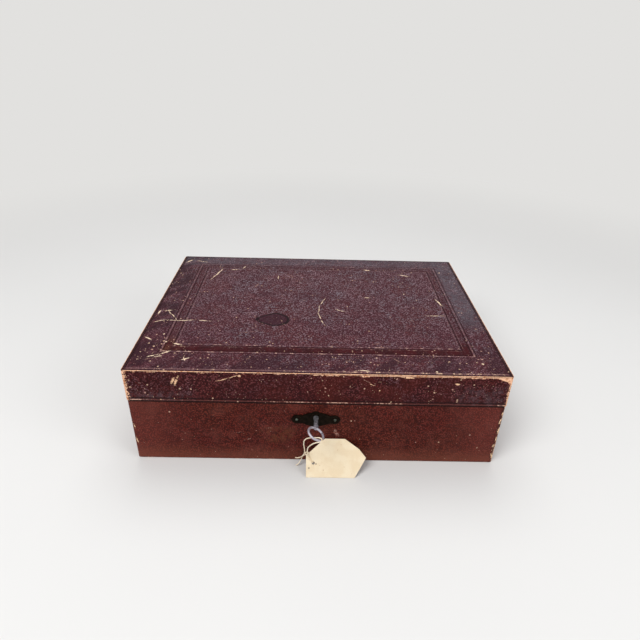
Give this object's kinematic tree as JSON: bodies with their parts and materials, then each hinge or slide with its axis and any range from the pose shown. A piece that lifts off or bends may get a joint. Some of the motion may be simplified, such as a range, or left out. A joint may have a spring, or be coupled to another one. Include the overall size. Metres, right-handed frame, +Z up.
{
  "type": "dressing case",
  "caption": "Leather-covered dressing case with a hinged mirror lid, box lock with key, lift-out compartment tray and a card label on a string.",
  "frame": {"origin": "centre of the underside of the base, on the surface that the case stands on", "axes": "+X along the width, to the right seen from the front; +Y from the front to the back, where the hinges are; +Z up"},
  "size_m": [0.351, 0.2997, 0.105],
  "materials": {
    "leather_top": "pebbled maroon leather with a dull sheen, tooled, scratched and worn pale at its edges",
    "leather_lid": "pebbled dark maroon leather, worn pale at the upper arris",
    "leather_base": "pebbled red-brown leather, scuffed at the corners",
    "board_wood": "plain softwood board",
    "brass": "aged brass, dull",
    "blackened_brass": "blackened brass, rubbed on its high points",
    "key_steel": "worn grey steel",
    "lock_steel": "plain steel",
    "velvet": "deep red velvet",
    "silk": "faded rose silk",
    "tray_silk": "rose silk over thin board",
    "mirror_silver": "old silvered glass",
    "moulding_wood": "polished dark wood moulding",
    "label_card": "cream card, bare, with small age spots",
    "cotton_string": "undyed cotton string",
    "ribbon": "silk ribbon",
    "underside_cloth": "dark book cloth"
  },
  "bodies": {
    "root": {"base_front_board": "board_wood", "base_back_board": "board_wood", "base_left_board": "board_wood", "base_right_board": "board_wood", "base_bottom_board": "board_wood", "base_leather": "leather_base", "underside_cover": "underside_cloth", "base_wall_lining": "silk", "base_floor_pad": "velvet", "tray_ledges": "silk", "left_hinge_base_leaf": "brass", "right_hinge_base_leaf": "brass", "left_hinge_pin": "brass", "right_hinge_pin": "brass", "hinge_base_screws": "brass", "lock_back_plate": "brass", "lock_cap": "brass", "lock_drill_pin": "lock_steel", "lock_ward": "brass", "lock_guide_studs": "lock_steel", "lock_screws": "brass", "key_escutcheon": "blackened_brass", "escutcheon_pins": "blackened_brass", "label_string": "cotton_string", "label_card": "label_card"},
    "lid": {"lid_top_board": "board_wood", "lid_front_board": "board_wood", "lid_back_board": "board_wood", "lid_left_board": "board_wood", "lid_right_board": "board_wood", "lid_leather_band": "leather_lid", "lid_top_leather": "leather_top", "lid_wall_lining": "silk", "lid_lining_pad": "silk", "mirror_frame": "moulding_wood", "mirror_glass": "mirror_silver", "left_hinge_lid_leaf": "brass", "right_hinge_lid_leaf": "brass", "hinge_lid_screws": "brass", "link_plate": "brass", "link_plate_screws": "brass"},
    "tray": {"tray_bottom": "tray_silk", "tray_walls": "tray_silk", "tray_long_dividers": "tray_silk", "tray_cross_dividers": "tray_silk", "tray_linings": "velvet", "tray_ribbon_pulls": "ribbon"},
    "key": {"key": "key_steel"},
    "bolt": {"lock_bolt": "lock_steel"}
  },
  "joints": [
    {"name": "lid_hinge", "type": "hinge", "parent": "root", "child": "lid", "pos_m": [0, 0.1324, 0.07095], "axis": [-1, 0, 0], "range_deg": [0, 95]},
    {"name": "key_turn", "type": "hinge", "parent": "root", "child": "key", "pos_m": [-0.0013, -0.1325, 0.056], "axis": [0, 1, 0], "range_deg": [0, 124]},
    {"name": "bolt_throw", "type": "slide", "parent": "root", "child": "bolt", "axis": [1, 0, 0], "range_m": [0, 0.00777]},
    {"name": "tray_lift", "type": "slide", "parent": "root", "child": "tray", "axis": [0, 0, 1], "range_m": [0, 0.02]}
  ],
  "couplings": [
    {"joint": "key_turn", "follows": "bolt_throw", "rad_per_m": 278.5}
  ]
}
